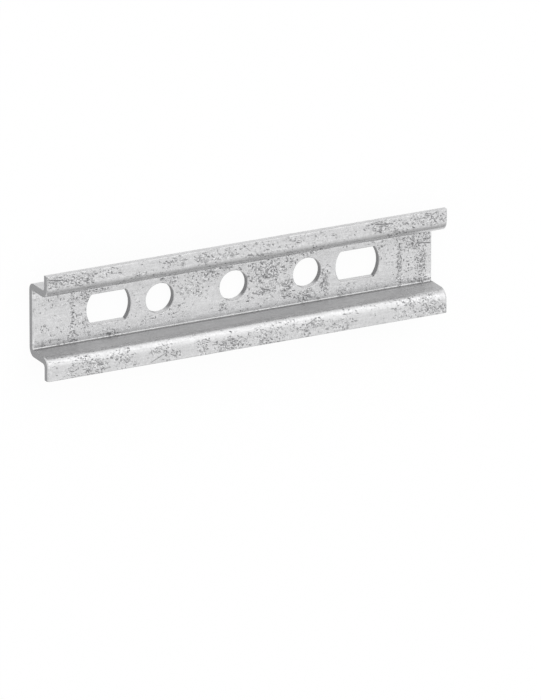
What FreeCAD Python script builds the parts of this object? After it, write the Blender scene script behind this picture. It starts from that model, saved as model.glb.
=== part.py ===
import FreeCAD, Part
import math
import os

# A short length of mini top-hat mounting rail: one strip of galvanised steel, punched and rolled.
# Its web carries a row of three round screw holes between two larger slots.
# X runs along the rail, Y across it, and Z from the back of the web to the front of the flanges.
# The origin is the middle of the web's back face, on which the rail lies. All sizes are in mm.

# Driving dimensions
RAIL_LENGTH = 61.0
RAIL_WIDTH = 15.0           # across the two flanges
CHANNEL_WIDTH = 10.5        # across the outsides of the two walls
RAIL_DEPTH = 5.5            # from the back of the web to the front of the flanges
SHEET = 1.0                 # thickness of the strip
WEB_BEND = 0.2              # inner radius where the web turns into a wall
FLANGE_BEND = 0.5           # inner radius where a wall turns into a flange
STRIP_EDGE_ROUND = 0.1      # long edges of the strip, at the tips of the flanges
CROP_FALL = 0.2             # depth to which the cropping blade drew in the fronts at both ends
CROP_FALL_LENGTH = 0.25     # stretch before each end along which they fall
PUNCH_ROUND = 0.1           # front edge of every hole, drawn in by its punch

ROUND_HOLE_DIAMETER = 4.3
ROUND_HOLE_PITCH = 11.25
ROUND_HOLE_COUNT = 3
SLOT_LENGTH = 6.75          # diameter of the slots' punch
SLOT_WIDTH = 4.35           # between the two flats that clip that punch
SLOT_PITCH = 38.0

RAIL_NAME = "din_rail"
SLOT_COUNT = 2
FALL_STEPS = 3              # flats that stand for the curve along which the fronts fall
PUNCH_OVERRUN = 1.0         # how far a punch passes each face of the web
SAME_PLACE = 1e-4           # distance under which two places are one


def section_corners(fall):
    """The corners of the strip's section as (y, z, radius), once round. Its fronts lie lower by fall."""
    outside = CHANNEL_WIDTH / 2
    inside = outside - SHEET
    tip = RAIL_WIDTH / 2
    flange_back = RAIL_DEPTH - SHEET
    half = [
        (inside, SHEET - fall, WEB_BEND),
        (inside, RAIL_DEPTH - fall, FLANGE_BEND + SHEET),
        (tip, RAIL_DEPTH - fall, STRIP_EDGE_ROUND),
        (tip, flange_back, STRIP_EDGE_ROUND),
        (outside, flange_back, FLANGE_BEND),
        (outside, 0.0, WEB_BEND + SHEET),
    ]
    mirrored = [(-y, z, radius) for y, z, radius in reversed(half)]
    return half + mirrored


def rounded_outline(x, corners):
    """A closed wire through square corners: an arc starts and ends one radius from its corner."""
    points = [FreeCAD.Vector(x, y, z) for y, z, radius in corners]
    arcs = []
    for index, (y, z, radius) in enumerate(corners):
        corner = points[index]
        following = points[(index + 1) % len(points)]
        back = (points[index - 1] - corner).normalize() * radius
        onward = (following - corner).normalize() * radius
        middle = corner + (back + onward) * (1 - math.sqrt(0.5))
        arcs.append((corner + back, middle, corner + onward))
    edges = []
    for index, (start, middle, end) in enumerate(arcs):
        edges.append(Part.Arc(start, middle, end).toShape())
        next_start = arcs[(index + 1) % len(arcs)][0]
        edges.append(Part.LineSegment(end, next_start).toShape())
    return Part.Wire(edges)


def end_outlines(side):
    """Outlines of the strip from where its fronts start to fall to its end: the right end is side 1."""
    shares = [step / FALL_STEPS for step in range(FALL_STEPS + 1)]
    outlines = []
    for share in shares:
        x = RAIL_LENGTH / 2 - CROP_FALL_LENGTH * (1 - share)
        fall = CROP_FALL * share ** 2
        outlines.append(rounded_outline(side * x, section_corners(fall)))
    return outlines


def rolled_strip():
    """The bent strip at its full length, cropped at both ends, before it is punched."""
    left, right = end_outlines(-1), end_outlines(1)
    even_length = RAIL_LENGTH - 2 * CROP_FALL_LENGTH
    even_part = Part.Face(left[0]).extrude(FreeCAD.Vector(even_length, 0, 0))
    ends = [Part.makeLoft(outlines, True, True) for outlines in (left, right)]
    return even_part.multiFuse(ends)


def spread(count, pitch):
    """Places of evenly spaced features, centred on the middle of the rail."""
    return [(index - (count - 1) / 2) * pitch for index in range(count)]


def round_punch(x, diameter):
    """A round punch on the web's centre line."""
    height = SHEET + 2 * PUNCH_OVERRUN
    foot = FreeCAD.Vector(x, 0, -PUNCH_OVERRUN)
    return Part.makeCylinder(diameter / 2, height, foot)


def slot_punch(x):
    """A round punch clipped by two flats, so that its long way lies along the rail."""
    height = SHEET + 2 * PUNCH_OVERRUN
    corner = FreeCAD.Vector(x - SLOT_LENGTH / 2, -SLOT_WIDTH / 2, -PUNCH_OVERRUN)
    between_flats = Part.makeBox(SLOT_LENGTH, SLOT_WIDTH, height, corner)
    return round_punch(x, SLOT_LENGTH).common(between_flats)


def punches():
    """All the punches, in one row along the web."""
    holes = [round_punch(x, ROUND_HOLE_DIAMETER) for x in spread(ROUND_HOLE_COUNT, ROUND_HOLE_PITCH)]
    slots = [slot_punch(x) for x in spread(SLOT_COUNT, SLOT_PITCH)]
    return Part.makeCompound(holes + slots)


def hole_mouths(solid):
    """The outlines of the holes on the front of the web."""
    web_fronts = [face for face in solid.Faces if abs(face.CenterOfMass.z - SHEET) < SAME_PLACE]
    wires = [wire for face in web_fronts for wire in face.Wires if not wire.isSame(face.OuterWire)]
    return [edge for wire in wires for edge in wire.Edges]


def din_rail():
    """The finished rail: rolled, cropped and punched."""
    rail = rolled_strip().cut(punches())
    rail = rail.makeFillet(PUNCH_ROUND, hole_mouths(rail))
    return rail.Solids[0]


os.makedirs("parts", exist_ok=True)
rail = din_rail()
rail.exportStep("parts/" + RAIL_NAME + ".step")
box = rail.optimalBoundingBox()
print(RAIL_NAME, "valid:", rail.isValid(), "solids:", len(rail.Solids))
print("size:", round(box.XLength, 3), round(box.YLength, 3), round(box.ZLength, 3))
print("volume mm3:", round(rail.Volume, 2), "lowest z:", round(box.ZMin, 4))
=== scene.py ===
import math

import bpy
from mathutils import Matrix, Vector


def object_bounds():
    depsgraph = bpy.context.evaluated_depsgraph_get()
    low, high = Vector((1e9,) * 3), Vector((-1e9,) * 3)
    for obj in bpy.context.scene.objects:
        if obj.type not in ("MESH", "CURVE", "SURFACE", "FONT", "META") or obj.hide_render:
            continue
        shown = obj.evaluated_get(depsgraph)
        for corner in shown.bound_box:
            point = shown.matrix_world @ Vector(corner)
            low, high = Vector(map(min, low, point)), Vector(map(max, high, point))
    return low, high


# A short mounting rail of galvanised steel, which lies on the back of its web on a pale floor.
# X runs along the rail, Y across it and Z up. The scene is in metres, in the frame of the CAD, and the
# pattern of the steel is in millimetres.

MM = 0.001
RAIL_NODE = "din_rail"
RAIL_SLOT = "galvanised_steel"

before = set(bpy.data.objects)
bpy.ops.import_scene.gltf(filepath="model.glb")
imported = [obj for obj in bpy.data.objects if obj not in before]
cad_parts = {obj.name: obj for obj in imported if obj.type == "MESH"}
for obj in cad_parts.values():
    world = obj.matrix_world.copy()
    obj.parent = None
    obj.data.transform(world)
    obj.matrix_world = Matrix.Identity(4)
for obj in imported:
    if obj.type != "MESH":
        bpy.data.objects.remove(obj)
cad_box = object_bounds()
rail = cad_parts[RAIL_NODE]
RAIL_END = cad_box[1][0]
RAIL_DEPTH = cad_box[1][2]

# How the camera of the photograph stood to the rail. It turned and rose from square on to the web, and
# its axis passed this far to the right of and below the middle of the flanges' front plane.
IMAGE_HEIGHT_PX = 700
SENSOR_HEIGHT_MM = 36.0
VIEW_TURN = math.radians(-27.3906)      # towards the end at -X
VIEW_RISE = math.radians(19.7309)       # towards the flange at +Y
VIEW_DISTANCE = 1.83168
PIXELS_PER_METRE = 7374.79              # at that distance
AIM_RIGHT = 2.9203 * MM
AIM_DOWN = 7.4085 * MM
NEAREST_SEEN = 0.05
FURTHEST_SEEN = 20.0

WHITE = (1, 1, 1, 1)
FADE = (1.0, 0.0)           # levels of a ramp that runs from all to nothing

# Sockets of a node that mixes colours, whose first ones are for numbers and vectors
MIX_FROM = 6
MIX_TO = 7
MIX_RESULT = 2


class Nodes:
    """Adds shader nodes to one tree and links them."""

    def __init__(self, tree):
        self.tree = tree
        tree.nodes.clear()

    def add(self, kind, **settings):
        node = self.tree.nodes.new(kind)
        for name, value in settings.items():
            setattr(node, name, value)
        return node

    def link(self, source, target):
        self.tree.links.new(source, target)

    def feed(self, socket, value):
        """Links a socket, or sets a plain value on it."""
        if isinstance(value, bpy.types.NodeSocket):
            self.link(value, socket)
        else:
            socket.default_value = value

    def feed_all(self, sockets, values):
        for socket, value in zip(sockets, values):
            self.feed(socket, value)

    def math(self, operation, *values):
        node = self.add("ShaderNodeMath", operation=operation)
        self.feed_all(node.inputs, values)
        return node.outputs[0]

    def product(self, value, *factors):
        """The value times all the factors."""
        for factor in factors:
            value = self.math("MULTIPLY", value, factor)
        return value

    def left_by(self, share):
        """What a share leaves of one."""
        return self.math("SUBTRACT", 1.0, share)

    def one_plus(self, value, amount):
        """One plus the value times the amount."""
        return self.math("MULTIPLY_ADD", value, amount, 1.0)

    def vector(self, operation, *values):
        node = self.add("ShaderNodeVectorMath", operation=operation)
        self.feed_all(node.inputs, values)
        return node.outputs["Value" if operation in ("DOT_PRODUCT", "LENGTH") else "Vector"]

    def scaled(self, value, factor):
        """A vector or a colour times a number."""
        node = self.add("ShaderNodeVectorMath", operation="SCALE")
        self.feed(node.inputs[0], value)
        self.feed(node.inputs["Scale"], factor)
        return node.outputs["Vector"]

    def ramp(self, value, reach, levels=(0.0, 1.0)):
        """Runs smoothly from the first level to the second while the value passes through the reach."""
        node = self.add("ShaderNodeMapRange", interpolation_type="SMOOTHSTEP")
        self.feed_all(node.inputs, (value, *reach, *levels))
        return node.outputs[0]

    def cells(self, place, size, turn=0.0, seed=0.0):
        """The place counted in cells of this size, turned about Z and moved by the seed."""
        node = self.add("ShaderNodeMapping", vector_type="TEXTURE")
        self.feed(node.inputs["Vector"], place)
        node.inputs["Location"].default_value = (seed, seed, seed)
        node.inputs["Rotation"].default_value = (0, 0, math.radians(turn))
        node.inputs["Scale"].default_value = size
        return node.outputs[0]

    def noise(self, place, size, turn=0.0, seed=0.0, detail=2.0, rough=0.5):
        """The outputs of a noise about 0.5, with features of this size."""
        pattern = self.add("ShaderNodeTexNoise")
        self.link(self.cells(place, size, turn, seed), pattern.inputs["Vector"])
        pattern.inputs["Scale"].default_value = 1.0
        pattern.inputs["Detail"].default_value = detail
        pattern.inputs["Roughness"].default_value = rough
        return pattern.outputs

    def blend(self, factor, low, high):
        """Goes from one colour to another."""
        node = self.add("ShaderNodeMix", data_type="RGBA")
        self.feed(node.inputs["Factor"], factor)
        self.feed(node.inputs[MIX_FROM], low)
        self.feed(node.inputs[MIX_TO], high)
        return node.outputs[MIX_RESULT]

    def split(self, value):
        """The X, Y and Z sockets of a vector."""
        node = self.add("ShaderNodeSeparateXYZ")
        self.link(value, node.inputs[0])
        return node.outputs


# World
# Each soft box: the way to its middle, the cosine of the angle at which it has faded out, its radiance
FAINT_SKY = 0.15
SOFT_BOXES = (
    ((0, 0, 1), 0.5, 0.5),
    ((0, 0.707, 0.707), 0.5, 0.8),
    ((0.433, 0.710, 0.555), 0.92, 0.4),
    ((0, 0.995, 0.1), 0.5, 0.65),
    ((0, -0.707, 0.707), 0.5, 0.25),
    ((0.707, 0, 0.707), 0.5, 0.4),
    ((0.995, 0, 0.1), 0.5, 0.5),
    ((-0.707, 0, 0.707), 0.5, 0.35),
    ((-0.995, 0, 0.1), 0.5, 0.6),
)


def studio_world():
    """White to the camera, and soft boxes round the rail for everything else."""
    world = bpy.data.worlds.new("studio")
    world.use_nodes = True
    sky = Nodes(world.node_tree)
    direction = sky.add("ShaderNodeTexCoord").outputs["Generated"]
    level = FAINT_SKY
    for middle, edge, radiance in SOFT_BOXES:
        nearness = sky.vector("DOT_PRODUCT", direction, middle)
        level = sky.math("ADD", sky.ramp(nearness, (edge, 1.0), (0.0, radiance)), level)
    seen = sky.add("ShaderNodeLightPath").outputs["Is Camera Ray"]
    background = sky.add("ShaderNodeBackground")
    background.inputs["Color"].default_value = WHITE
    sky.link(sky.math("MAXIMUM", level, seen), background.inputs["Strength"])
    sky.link(background.outputs[0], sky.add("ShaderNodeOutputWorld").inputs["Surface"])
    return world


# Floor
FLOOR_HALF = 3.0
FLOOR_DROP = 0.02 * MM      # clear of the back of the web
FLOOR_PAINT = (0.9, 0.9, 0.9, 1)
FLOOR_WHITENESS = 0.94      # share of plain white in what is seen of it


def floor_paint():
    """White to the camera and in reflections, with a little of its own shading left for the shadow."""
    material = bpy.data.materials.new("pale_floor")
    material.use_nodes = True
    paint = Nodes(material.node_tree)
    paths = paint.add("ShaderNodeLightPath").outputs
    seen = paint.math("MAXIMUM", paths["Is Camera Ray"], paths["Is Glossy Ray"])
    seen = paint.math("MAXIMUM", seen, paths["Is Transmission Ray"])
    diffuse = paint.add("ShaderNodeBsdfDiffuse")
    diffuse.inputs["Color"].default_value = FLOOR_PAINT
    glow = paint.add("ShaderNodeEmission")
    glow.inputs["Strength"].default_value = 1.0
    mix = paint.add("ShaderNodeMixShader")
    paint.feed_all(mix.inputs, (paint.product(seen, FLOOR_WHITENESS), diffuse.outputs[0], glow.outputs[0]))
    paint.link(mix.outputs[0], paint.add("ShaderNodeOutputMaterial").inputs["Surface"])
    return material


def lay_floor():
    """A wide level square just under the rail."""
    mesh = bpy.data.meshes.new("floor")
    square = ((-1, -1), (1, -1), (1, 1), (-1, 1))
    corners = [(x * FLOOR_HALF, y * FLOOR_HALF, -FLOOR_DROP) for x, y in square]
    mesh.from_pydata(corners, [], [(0, 1, 2, 3)])
    mesh.materials.append(floor_paint())
    floor = bpy.data.objects.new("floor", mesh)
    bpy.context.scene.collection.objects.link(floor)


# Galvanised steel
ZINC = (0.64, 0.64, 0.645, 1)
MARK = (0.15, 0.15, 0.155, 1)
# Bare steel's colour, partly its own and partly painted shade
CUT_STEEL_AND_SHADE = (0.26, 0.26, 0.265, 1)
METALNESS = 0.6
BUMP_STRENGTH = 0.4
BUMP_DEPTH = 0.01 * MM
MOTTLE_HEIGHT = 0.6         # bumps of the mottle, next to the depth of a mark

# Patterns of noise: the size of their features along, across and up, and how fine they are
RAGGED_BORDER = {"size": (1, 1, 1), "detail": 4.0, "rough": 0.65}
EVEN_COVER = {"size": (2, 2, 2), "detail": 3.0}
CLUMPS = {"size": (0.8, 0.4, 0.4), "turn": -20, "seed": 61.0}
STROKE_BENDS = {"size": (0.3, 0.3, 0.3), "detail": 1.0}
MOTTLE = {"size": (0.6, 0.6, 0.6), "detail": 4.0, "rough": 0.65}
GRAINS = (
    {"size": (0.3, 0.16, 0.16), "turn": 25, "seed": 5, "rough": 0.7},
    {"size": (0.3, 0.16, 0.16), "turn": -65, "seed": 9, "rough": 0.7},
)
STREAKS = {"size": (3, 0.3, 0.3), "detail": 3.0, "rough": 0.6}


class Steel(Nodes):
    """The rail's shader, with the places and the ways the surface faces that its pattern goes by."""

    def __init__(self, tree):
        super().__init__(tree)
        self.place = self.scaled(self.add("ShaderNodeTexCoord").outputs["Object"], 1 / MM)
        self.normal = self.add("ShaderNodeNewGeometry").outputs["Normal"]
        self.spot = self.split(self.vector("ABSOLUTE", self.place))
        self.facing = self.split(self.vector("ABSOLUTE", self.normal))


# Where the zinc is marked most: middle along and across the rail, reach along and across, and how much
WORN_SPOTS = (
    # On the web
    (-27.2, 2.4, 1.2, 0.6, 0.5),
    (-29.0, -1.6, 1.4, 0.8, 0.4),
    (-28.4, -3.6, 2.4, 0.5, 0.6),
    (-24.5, 0.0, 0.5, 5.0, 1.0),
    (-24.4, 2.0, 0.9, 1.0, 0.8),
    (-24.5, -3.6, 1.0, 0.8, 1.0),
    (-22.4, 2.4, 1.2, 1.4, 1.1),
    (-22.6, -1.6, 0.7, 1.6, 0.8),
    (-21.6, -3.0, 1.4, 0.6, 0.4),
    (-20.4, 2.9, 2.2, 0.4, 1.1),
    (-18.6, -3.6, 1.2, 0.5, 0.8),
    (-16.4, -2.8, 1.2, 0.8, 0.3),
    (-13.7, -3.0, 0.7, 0.4, 0.5),
    (-12.4, -2.8, 0.7, 0.5, 0.6),
    (-14.5, -0.5, 1.0, 0.8, 0.2),
    (-6.6, 0.6, 2.4, 1.2, 0.6),
    (-4.0, 2.0, 2.4, 1.2, 0.75),
    (-9.6, 2.4, 1.4, 0.9, 0.8),
    (-1.2, 3.0, 1.8, 0.5, 1.0),
    (-1.6, -2.8, 0.9, 0.8, 0.9),
    (4.8, 1.2, 3.0, 1.8, 1.0),
    (4.6, -1.7, 1.6, 0.6, 1.1),
    (8.1, -1.6, 1.1, 1.8, 1.0),
    (6.0, -0.4, 1.6, 1.0, 0.7),
    (8.9, 2.3, 1.2, 1.0, 0.6),
    (11.2, 3.0, 1.6, 0.5, 1.3),
    (11.0, -3.2, 1.8, 0.9, 1.1),
    (13.8, -1.6, 0.8, 2.2, 0.9),
    (14.4, -0.2, 0.5, 0.8, 0.9),
    (16.6, -3.4, 1.0, 0.5, 0.8),
    (22.4, 2.0, 1.2, 1.2, 0.5),
    (25.4, 0.0, 0.45, 5.0, 1.1),
    (25.4, -3.2, 0.8, 1.0, 1.0),
    (28.0, 1.8, 2.2, 1.5, 1.1),
    (28.7, -1.2, 1.0, 2.4, 1.1),
    (27.2, -1.8, 1.0, 1.0, 0.5),
    (29.6, 2.4, 1.0, 1.2, 0.8),
    (28.4, -3.8, 2.4, 0.5, 0.9),
    # On the flange at +Y
    (5.0, 6.7, 14.0, 1.4, 0.25),
    (-29.0, 6.6, 2.0, 1.2, 1.0),
    (-24.8, 6.6, 2.6, 1.2, 0.9),
    (-21.5, 6.8, 1.8, 1.0, 0.5),
    (-11.0, 6.6, 1.8, 1.2, 0.6),
    (-7.0, 6.4, 1.0, 1.0, 1.0),
    (-4.0, 6.6, 2.6, 1.2, 0.5),
    (-16.5, 5.6, 1.6, 0.6, 0.7),
    (1.5, 5.6, 2.0, 0.6, 0.8),
    (22.5, 5.6, 1.6, 0.6, 0.8),
    (20.4, 6.8, 2.6, 1.2, 1.0),
    (27.0, 6.6, 3.8, 1.2, 0.8),
    # On the flange at -Y
    (-27.0, -6.6, 1.4, 1.0, 0.5),
    (-24.5, -5.2, 1.4, 0.8, 0.8),
    (-23.4, -6.4, 2.0, 1.4, 0.9),
    (-19.5, -5.4, 2.0, 1.0, 0.6),
    (-13.6, -5.6, 1.8, 0.6, 0.9),
    (-7.0, -5.6, 1.2, 0.6, 0.7),
    (3.0, -5.6, 2.6, 0.6, 0.7),
    (10.4, -5.7, 1.0, 0.7, 1.3),
    (-18.8, -6.2, 1.2, 1.0, 0.6),
    (-11.6, -6.6, 1.4, 1.0, 0.6),
    (-7.0, -6.8, 1.0, 1.0, 0.7),
    (-2.6, -6.6, 3.0, 1.2, 0.9),
    (3.4, -6.6, 2.4, 1.2, 0.7),
    (8.5, -6.4, 1.6, 1.2, 0.6),
    (13.6, -6.6, 2.4, 1.2, 0.6),
    (23.4, -6.8, 1.2, 1.0, 0.6),
    (27.8, -6.6, 3.0, 1.2, 0.8),
    (27.6, -5.2, 1.4, 0.8, 0.8),
    (24.8, -5.2, 1.2, 0.8, 0.9),
)
STRAY = Vector((1.0, 2.0, 0.0))         # how far the border of a spot wanders, along and across
SPOT_BORDER = (0.3, 1.4)                # where a spot fades, in shares of its reach
SPOT_WEAR = 0.8                         # in a spot whose amount is 1
COVER_PATCHES = (0.45, 0.8)             # levels of the noise at which a patch starts and is full
COVER_WEAR = (0.05, 0.32)
CLUMP_PATCHES = (0.35, 0.65)
CLUMP_WEAR = (0.55, 1.45)               # how much wear is thinned and gathered


def wear_of(steel):
    """How thickly the zinc is marked: placed spots with ragged borders, over a faint even cover."""
    place = steel.place
    ragged = steel.noise(place, **RAGGED_BORDER)["Color"]
    strayed = steel.vector("MULTIPLY_ADD", ragged, STRAY, steel.vector("SUBTRACT", place, STRAY / 2))
    flat = steel.vector("MULTIPLY", strayed, (1, 1, 0))
    wear = steel.ramp(steel.noise(place, **EVEN_COVER)["Fac"], COVER_PATCHES, COVER_WEAR)
    for x, y, reach_x, reach_y, amount in WORN_SPOTS:
        shrink = (1 / reach_x, 1 / reach_y, 0)
        shift = (-x / reach_x, -y / reach_y, 0)
        away = steel.vector("LENGTH", steel.vector("MULTIPLY_ADD", flat, shrink, shift))
        wear = steel.math("MAXIMUM", wear, steel.ramp(away, SPOT_BORDER, (SPOT_WEAR * amount, 0.0)))
    clumps = steel.noise(place, **CLUMPS)["Fac"]
    return steel.product(wear, steel.ramp(clumps, CLUMP_PATCHES, CLUMP_WEAR))


# Layers of marks: the way their strokes point, their width and length, and their seed
MARK_LAYERS = (
    (-10, 0.16, 0.65, 3.1),
    (-36, 0.2, 0.6, 11.7),
    (24, 0.16, 0.45, 19.5),
    (-82, 0.18, 0.42, 27.3),
)
LIGHT_LAYERS = (
    (-20, 0.18, 0.5, 41.0),
    (55, 0.16, 0.42, 53.0),
)
STROKE_BEND = 0.3
STROKE_RADIUS = 0.45                    # of the smallest one, in shares of its cell
RADIUS_SPREAD = 0.2
STROKE_SOFTNESS = (0.0, 0.25)
STROKE_STRENGTH = (0.12, 1.0)           # of the faintest one and the strongest
STROKE_ONSET = (0.0, 0.08)              # how far wear passes a cell's number before its stroke is whole


def marks_of(steel, wear, layers):
    """Small strokes, one to a cell of each layer: the more wear there is, the more cells have one."""
    bends = steel.noise(steel.place, **STROKE_BENDS)["Color"]
    place = steel.vector("MULTIPLY_ADD", bends, (STROKE_BEND,) * 3, steel.place)
    marks = 0.0
    for turn, width, length, seed in layers:
        pattern = steel.add("ShaderNodeTexVoronoi")
        pattern.inputs["Scale"].default_value = 1.0
        steel.link(steel.cells(place, (length, width, width), turn, seed), pattern.inputs["Vector"])
        dice = steel.split(pattern.outputs["Color"])
        radius = steel.math("MULTIPLY_ADD", dice["Y"], RADIUS_SPREAD, STROKE_RADIUS)
        inside = steel.math("SUBTRACT", radius, pattern.outputs["Distance"])
        shape = steel.ramp(inside, STROKE_SOFTNESS)
        strength = steel.ramp(dice["Z"], (0.0, 1.0), STROKE_STRENGTH)
        drawn = steel.ramp(steel.math("SUBTRACT", wear, dice["X"]), STROKE_ONSET)
        marks = steel.math("MAXIMUM", marks, steel.product(shape, strength, drawn))
    return marks


# Scratches: start and end along and across the rail, and how dark; a negative one is light
SCRATCHES = (
    (-14.9, -7.2, -12.4, -6.1, 0.6),
    (-30.2, 7.0, -28.2, 6.75, 1.0),
    (-30.0, 6.6, -28.9, 6.75, 0.8),
    (19.5, 7.05, 22.0, 6.75, 1.0),
    (20.0, 6.6, 21.6, 6.85, 0.8),
    (28.2, 1.6, 30.2, 1.35, 1.0),
    (4.2, -1.2, 5.4, -1.45, 1.0),
    (2.9, -1.6, 4.0, -1.95, 0.8),
    (4.9, 1.05, 5.7, 1.8, 0.9),
    (10.6, -3.1, 12.0, -3.6, 1.0),
    (8.9, -5.7, 10.4, -5.0, 0.8),
    (-22.4, 2.7, -21.6, 2.1, -1.0),
)
SCRATCH_WIDTH = 0.14


def scratch(steel, start, end):
    """One on the line between two places of the rail's fronts, fading to none beside it."""
    way = (end - start).normalized()
    front = steel.vector("MULTIPLY", steel.place, (1, 1, 0))
    from_start = steel.vector("SUBTRACT", front, start)
    along = steel.vector("DOT_PRODUCT", from_start, way)
    along = steel.math("MINIMUM", steel.math("MAXIMUM", along, 0.0), (end - start).length)
    aside = steel.vector("LENGTH", steel.vector("SUBTRACT", from_start, steel.scaled(way, along)))
    return steel.ramp(aside, (0.0, SCRATCH_WIDTH), FADE)


def with_scratches(steel, marks):
    """The marks, and the scratches drawn over them."""
    for x_start, y_start, x_end, y_end, depth in SCRATCHES:
        line = scratch(steel, Vector((x_start, y_start, 0)), Vector((x_end, y_end, 0)))
        if depth > 0:
            marks = steel.math("MAXIMUM", marks, steel.product(line, depth))
        else:
            marks = steel.product(marks, steel.one_plus(line, depth))
    return marks


# Where marks lie: on the fronts, and a little fainter on the flanges than on the web
FRONT_FACING = (0.25, 0.6)
WEB_TO_FLANGE = (4.5, 5.5)
FLANGE_MARKS = (1.0, 0.88)


def dark_marks(steel, wear, on_fronts):
    """All the dark marks of the fronts: strokes and scratches."""
    strokes = steel.product(marks_of(steel, wear, MARK_LAYERS), on_fronts)
    strokes = steel.product(strokes, steel.ramp(steel.spot["Y"], WEB_TO_FLANGE, FLANGE_MARKS))
    return with_scratches(steel, strokes)


# The channel's walls, which face across the rail and lie further out than the walls of the holes
WALL_FACING = (0.85, 0.97)
WALL_PLACE = (3.5, 4.0)
WALL_MIDDLE = (4.5, 4.8)                # between a wall's inner face and its outer one
WALL_FOOT = (1.0, 1.3)
# Painted shade on the inner faces of the channel's walls, deeper towards the end at -X: where it spans
# along the rail and how deep it is
WALL_SHADE_STRETCH = (-30.5, -22.0)           # along the rail
WALL_SHADE_LEVELS = (0.36, 0.23)             # at the start of that stretch and past its end

# The line of painted shade in each corner of the channel: how far across and up it runs
CORNER_SHADE_LINE = (0, 4.27, 1.3)
CORNER_SHADE_REACH = (0.1, 0.38)
CORNER_SHADE_DEPTH = (0.35, 0.0)

# A painted sheen: a lighter band on the web beside each bend
SHEEN_BAND_START = (2.6, 3.3)
SHEEN_BAND_END = (3.5, 3.85)
SHEEN_BAND_LIFT = 0.2


def walls_of(steel):
    """Where the inner and outer faces of the channel's walls are."""
    return steel.product(
        steel.ramp(steel.facing["Y"], WALL_FACING),
        steel.ramp(steel.spot["Y"], WALL_PLACE),
    )


def channel_tone(steel, walls):
    """How light the zinc is in the channel: painted shade on the inner walls and along the corners at
    their feet, and a painted sheen beside each bend of the web.
    """
    spot = steel.spot
    inner = steel.ramp(spot["Y"], WALL_MIDDLE, FADE)
    above_foot = steel.ramp(spot["Z"], WALL_FOOT)
    shade_along = steel.ramp(steel.split(steel.place)["X"], WALL_SHADE_STRETCH, WALL_SHADE_LEVELS)
    # Painted shade on the walls' inner faces
    wall_shade = steel.product(walls, inner, above_foot, shade_along)
    # Painted shade along each corner of the channel, where the walls meet the web
    from_corner_line = steel.vector("SUBTRACT", steel.vector("ABSOLUTE", steel.place), CORNER_SHADE_LINE)
    from_corner_line = steel.vector("LENGTH", steel.vector("MULTIPLY", from_corner_line, (0, 1, 1)))
    corner_shade = steel.ramp(from_corner_line, CORNER_SHADE_REACH, CORNER_SHADE_DEPTH)
    # Painted sheen on the web beside each bend
    sheen_band = steel.ramp(spot["Y"], SHEEN_BAND_START)
    sheen_band = steel.product(sheen_band, steel.ramp(spot["Y"], SHEEN_BAND_END, FADE))
    return steel.product(steel.left_by(wall_shade), steel.left_by(corner_shade), steel.one_plus(sheen_band, SHEEN_BAND_LIFT))


# How the zinc's tone varies
MOTTLE_PATCHES = (0.25, 0.75)
MOTTLE_TONE = (0.93, 1.07)
GRAIN_ON_WEAR = 1.1
GRAIN_EVERYWHERE = 0.3
STREAK_PATCHES = (0.3, 0.7)
STREAK_TONE = (0.95, 1.05)
FLECK_TONE = 0.2
FLANGE_RISE = (4.5, 5.5)
FLANGE_TONE = (1.0, 0.96)


def zinc_tone(steel, mottle, wear, flecks, walls):
    """How light the zinc is: mottle, grain where it is worn, streaks along the rail, light flecks, and the
    channel's painted shade and sheen.
    """
    tone = steel.ramp(mottle, MOTTLE_PATCHES, MOTTLE_TONE)
    strength = steel.math("MULTIPLY_ADD", wear, GRAIN_ON_WEAR, GRAIN_EVERYWHERE)
    for grain in GRAINS:
        level = steel.math("SUBTRACT", steel.noise(steel.place, **grain)["Fac"], 0.5)
        tone = steel.product(tone, steel.one_plus(level, strength))
    streaks = steel.ramp(steel.noise(steel.place, **STREAKS)["Fac"], STREAK_PATCHES, STREAK_TONE)
    light = steel.one_plus(flecks, FLECK_TONE)
    flange = steel.ramp(steel.spot["Z"], FLANGE_RISE, FLANGE_TONE)
    return steel.product(tone, streaks, light, channel_tone(steel, walls), flange)


# Bare steel, on the ends and on the walls of the holes. Its dark colour is partly the steel's own and
# partly painted shade, which the tilt of CUT_WAY and the darkening of the holes' sides towards +Y lay on
# those sides of the holes
CUT_WAY = (0.985, 0.174, 0)             # the faces that look this way or back are the barest
CUT_FACING = (0.2, 0.7)
UPRIGHT_FACING = (0.05, 0.3)            # how far up a face may look before it counts as a front
SHADED_SIDE_FACING = (-0.7, 0.0)               # painted shade: the holes' walls on their sides towards +Y count as more bare, so darker
SHADED_SIDE_DEPTH = (0.3, 0.0)
CROPPED_STRETCH = (RAIL_END / MM - 0.5, RAIL_END / MM - 0.3)    # past it, cut faces are an end's
SMEAR_RISE = (0.78, 0.9)                # up here the punch has smeared zinc over the walls of the holes
SHADED_SIDE_LIFT = -0.5                       # and higher up on those sides


def bare_steel_and_shade(steel):
    """Where steel shows that was cropped or punched, darker as painted shade on the holes' sides towards
    +Y, and where it was punched alone.
    """
    shaded_side = steel.ramp(steel.split(steel.normal)["Y"], SHADED_SIDE_FACING, SHADED_SIDE_DEPTH)
    upward = steel.math("SUBTRACT", steel.facing["Z"], shaded_side)
    endward = steel.math("ABSOLUTE", steel.vector("DOT_PRODUCT", steel.normal, CUT_WAY))
    inside_holes = steel.left_by(steel.ramp(steel.spot["X"], CROPPED_STRETCH))
    height = steel.math("MULTIPLY_ADD", shaded_side, SHADED_SIDE_LIFT, steel.spot["Z"])
    smeared = steel.product(steel.ramp(height, SMEAR_RISE), inside_holes)
    cut_and_shade = steel.product(
        steel.ramp(endward, CUT_FACING),
        steel.ramp(upward, UPRIGHT_FACING, FADE),
        steel.left_by(smeared),
    )
    return cut_and_shade, steel.product(cut_and_shade, inside_holes)


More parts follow.
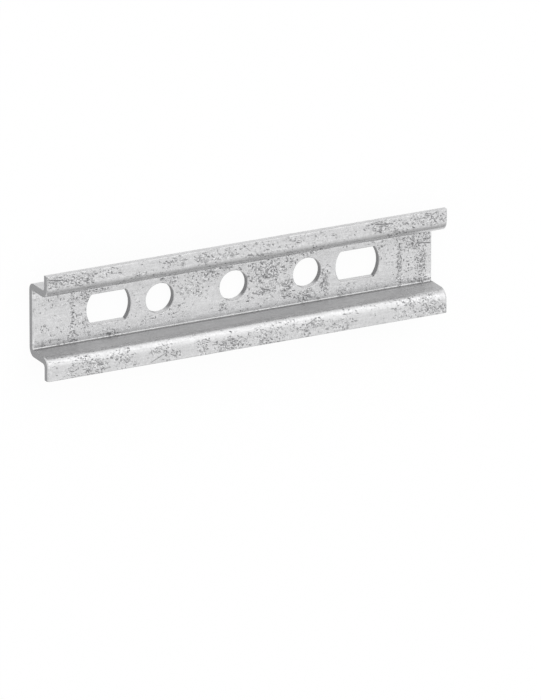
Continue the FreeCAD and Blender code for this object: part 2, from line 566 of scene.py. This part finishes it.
ROUGHNESS_PATCHES = (0.3, 0.7)
ZINC_ROUGHNESS = (0.19, 0.26)
MARK_ROUGHNESS = 0.2                    # these three come on top of the zinc's own
WALL_ROUGHNESS = 0.3
PUNCHED_ROUGHNESS = 0.35


def roughness_of(steel, mottle, marks, walls, punched):
    """How matt the surface is: zinc that varies with its mottle, and rougher places on it."""
    roughness = steel.ramp(mottle, ROUGHNESS_PATCHES, ZINC_ROUGHNESS)
    for places, amount in ((marks, MARK_ROUGHNESS), (walls, WALL_ROUGHNESS), (punched, PUNCHED_ROUGHNESS)):
        roughness = steel.math("MULTIPLY_ADD", places, amount, roughness)
    return roughness


def galvanised_steel(name):
    """Zinc with a fine grain, dark marks and scratches, and the channel's painted shade and sheen; bare
    steel where it was cropped and punched, partly darkened as painted shade.
    """
    material = bpy.data.materials.new(name)
    material.use_nodes = True
    steel = Steel(material.node_tree)
    wear = wear_of(steel)
    on_fronts = steel.ramp(steel.facing["Z"], FRONT_FACING)
    marks = dark_marks(steel, wear, on_fronts)
    flecks = steel.product(marks_of(steel, wear, LIGHT_LAYERS), on_fronts)
    mottle = steel.noise(steel.place, **MOTTLE)["Fac"]
    walls = walls_of(steel)
    tone = zinc_tone(steel, mottle, wear, flecks, walls)
    zinc = steel.scaled(steel.blend(marks, ZINC, MARK), tone)
    # Bare steel, whose darkness is partly painted shade
    cut_and_shade, punched = bare_steel_and_shade(steel)

    bump = steel.add("ShaderNodeBump")
    bump.inputs["Strength"].default_value = BUMP_STRENGTH
    bump.inputs["Distance"].default_value = BUMP_DEPTH
    height = steel.math("SUBTRACT", steel.product(mottle, MOTTLE_HEIGHT), marks)
    steel.link(height, bump.inputs["Height"])

    shader = steel.add("ShaderNodeBsdfPrincipled")
    shader.inputs["Metallic"].default_value = METALNESS
    steel.link(steel.blend(cut_and_shade, zinc, CUT_STEEL_AND_SHADE), shader.inputs["Base Color"])
    steel.link(roughness_of(steel, mottle, marks, walls, punched), shader.inputs["Roughness"])
    steel.link(bump.outputs[0], shader.inputs["Normal"])
    steel.link(shader.outputs[0], steel.add("ShaderNodeOutputMaterial").inputs["Surface"])
    return material


def photograph_camera():
    """The camera of the photograph, as fitted to the rail's edges."""
    back = Vector((
        math.sin(VIEW_TURN) * math.cos(VIEW_RISE),
        math.sin(VIEW_RISE),
        math.cos(VIEW_TURN) * math.cos(VIEW_RISE),
    ))
    right = Vector((math.cos(VIEW_TURN), 0.0, -math.sin(VIEW_TURN)))
    up = back.cross(right)
    data = bpy.data.cameras.new("camera")
    data.sensor_fit = "VERTICAL"
    data.sensor_height = SENSOR_HEIGHT_MM
    data.lens = PIXELS_PER_METRE * VIEW_DISTANCE / IMAGE_HEIGHT_PX * SENSOR_HEIGHT_MM
    data.clip_start = NEAREST_SEEN
    data.clip_end = FURTHEST_SEEN
    camera = bpy.data.objects.new("camera", data)
    eye = Vector((0, 0, RAIL_DEPTH)) + right * AIM_RIGHT - up * AIM_DOWN + back * VIEW_DISTANCE
    camera.matrix_world = Matrix.Translation(eye) @ Matrix((right, up, back)).transposed().to_4x4()
    bpy.context.scene.collection.objects.link(camera)
    return camera


bpy.context.scene.world = studio_world()
lay_floor()
rail.material_slots[0].material = galvanised_steel(RAIL_SLOT)
bpy.context.scene.camera = photograph_camera()
bpy.context.scene.view_settings.view_transform = "Standard"
